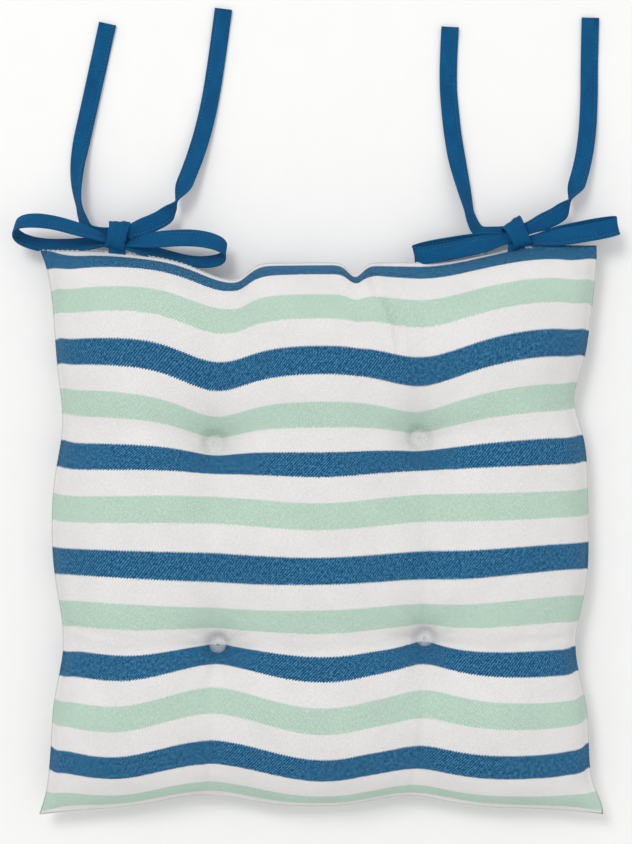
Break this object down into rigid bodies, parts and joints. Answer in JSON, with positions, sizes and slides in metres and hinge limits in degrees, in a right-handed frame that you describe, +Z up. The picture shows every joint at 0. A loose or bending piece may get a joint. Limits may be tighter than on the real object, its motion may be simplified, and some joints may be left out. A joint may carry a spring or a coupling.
{
  "type": "chair seat pad",
  "caption": "Square tufted fabric seat pad with clear tuft discs and a tape bow at each back corner for tying it to a chair.",
  "frame": {"origin": "middle of the pad's flat underside, on the surface that it lies on", "axes": "+X to the right seen from the front of the chair, +Y towards the chair's back where the ties are, +Z up"},
  "size_m": [0.4205, 0.5748, 0.0633],
  "materials": {
    "striped_twill": "blue, mint and white striped cotton twill",
    "polyester_fibre": "loose white fibre",
    "blue_tape": "folded plain-woven cotton tape",
    "white_thread": "spun polyester thread",
    "clear_plastic": "clear moulded",
    "nylon": "natural, translucent"
  },
  "bodies": {
    "pad": {"top_panel": "striped_twill", "bottom_panel": "striped_twill", "fibre_filling": "polyester_fibre", "edge_seam_thread": "white_thread", "back_left_top_disc": "clear_plastic", "back_left_bottom_disc": "clear_plastic", "back_left_tuft_pin": "nylon", "back_right_top_disc": "clear_plastic", "back_right_bottom_disc": "clear_plastic", "back_right_tuft_pin": "nylon", "front_left_top_disc": "clear_plastic", "front_left_bottom_disc": "clear_plastic", "front_left_tuft_pin": "nylon", "front_right_top_disc": "clear_plastic", "front_right_bottom_disc": "clear_plastic", "front_right_tuft_pin": "nylon", "left_tie_anchor": "blue_tape", "left_bartack": "white_thread", "right_tie_anchor": "blue_tape", "right_bartack": "white_thread"},
    "left_bow": {"left_knot": "blue_tape", "left_outer_lead": "blue_tape", "left_inner_lead": "blue_tape"},
    "left_outer_loop": {"left_outer_loop": "blue_tape"},
    "left_outer_tail": {"left_outer_tail": "blue_tape"},
    "left_inner_loop": {"left_inner_loop": "blue_tape"},
    "left_inner_tail": {"left_inner_tail": "blue_tape"},
    "right_bow": {"right_knot": "blue_tape", "right_outer_lead": "blue_tape", "right_inner_lead": "blue_tape"},
    "right_outer_loop": {"right_outer_loop": "blue_tape"},
    "right_outer_tail": {"right_outer_tail": "blue_tape"},
    "right_inner_loop": {"right_inner_loop": "blue_tape"},
    "right_inner_tail": {"right_inner_tail": "blue_tape"}
  },
  "joints": [
    {"name": "left_bow_swing", "type": "hinge", "parent": "pad", "child": "left_bow", "pos_m": [-0.144, 0.19729, 0.022], "axis": [1, 0, 0], "range_deg": [-90, 5]},
    {"name": "left_outer_loop_lift", "type": "hinge", "parent": "left_bow", "child": "left_outer_loop", "pos_m": [-0.154, 0.2075, 0.022], "axis": [0.0803, 0.6644, 0.743], "range_deg": [0, 60]},
    {"name": "left_outer_tail_swing", "type": "hinge", "parent": "left_bow", "child": "left_outer_tail", "pos_m": [-0.1718, 0.231, 0.0122], "axis": [0.9893, 0.1458, 0], "range_deg": [-70, 75]},
    {"name": "left_inner_loop_lift", "type": "hinge", "parent": "left_bow", "child": "left_inner_loop", "pos_m": [-0.134, 0.2075, 0.022], "axis": [-0.1215, -0.66, -0.7413], "range_deg": [0, 60]},
    {"name": "left_inner_tail_swing", "type": "hinge", "parent": "left_bow", "child": "left_inner_tail", "pos_m": [-0.1035, 0.2342, 0.0146], "axis": [0.9024, -0.4309, 0], "range_deg": [-70, 75]},
    {"name": "right_bow_swing", "type": "hinge", "parent": "pad", "child": "right_bow", "pos_m": [0.1395, 0.19713, 0.022], "axis": [1, 0, 0], "range_deg": [-90, 5]},
    {"name": "right_outer_loop_lift", "type": "hinge", "parent": "right_bow", "child": "right_outer_loop", "pos_m": [0.1495, 0.2085, 0.022], "axis": [0.0687, -0.6657, -0.743], "range_deg": [0, 60]},
    {"name": "right_outer_tail_swing", "type": "hinge", "parent": "right_bow", "child": "right_outer_tail", "pos_m": [0.176, 0.2362, 0.0146], "axis": [0.8924, -0.4512, 0], "range_deg": [-70, 75]},
    {"name": "right_inner_loop_lift", "type": "hinge", "parent": "right_bow", "child": "right_inner_loop", "pos_m": [0.1295, 0.2085, 0.022], "axis": [-0.1445, 0.6554, 0.7413], "range_deg": [0, 60]},
    {"name": "right_inner_tail_swing", "type": "hinge", "parent": "right_bow", "child": "right_inner_tail", "pos_m": [0.1065, 0.2314, 0.0122], "axis": [0.959, 0.2836, 0], "range_deg": [-70, 75]}
  ]
}
